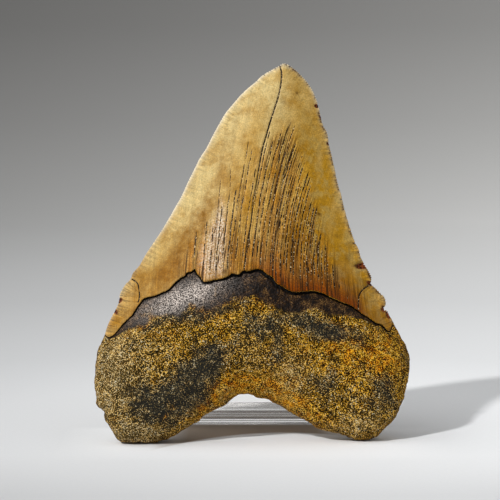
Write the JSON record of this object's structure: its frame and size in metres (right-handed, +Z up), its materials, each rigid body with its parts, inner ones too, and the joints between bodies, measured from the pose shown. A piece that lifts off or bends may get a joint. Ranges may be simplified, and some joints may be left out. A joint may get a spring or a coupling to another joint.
{
  "type": "megalodon tooth on display stand",
  "caption": "Large fossil shark tooth with a serrated blade and granular root, leaning on a clear bent-sheet stand.",
  "frame": {"origin": "centre of the footprint, on the floor that the root lobes and the stand rest on", "axes": "+Z up, -Y towards the side of the tooth that shows, +X to that viewer's right"},
  "size_m": [0.1062, 0.0717, 0.1268],
  "materials": {
    "tooth": "satin enamel over a rough granular root",
    "acrylic": "clear polished"
  },
  "bodies": {
    "root": {"tooth": "tooth", "stand": "acrylic"}
  },
  "joints": []
}
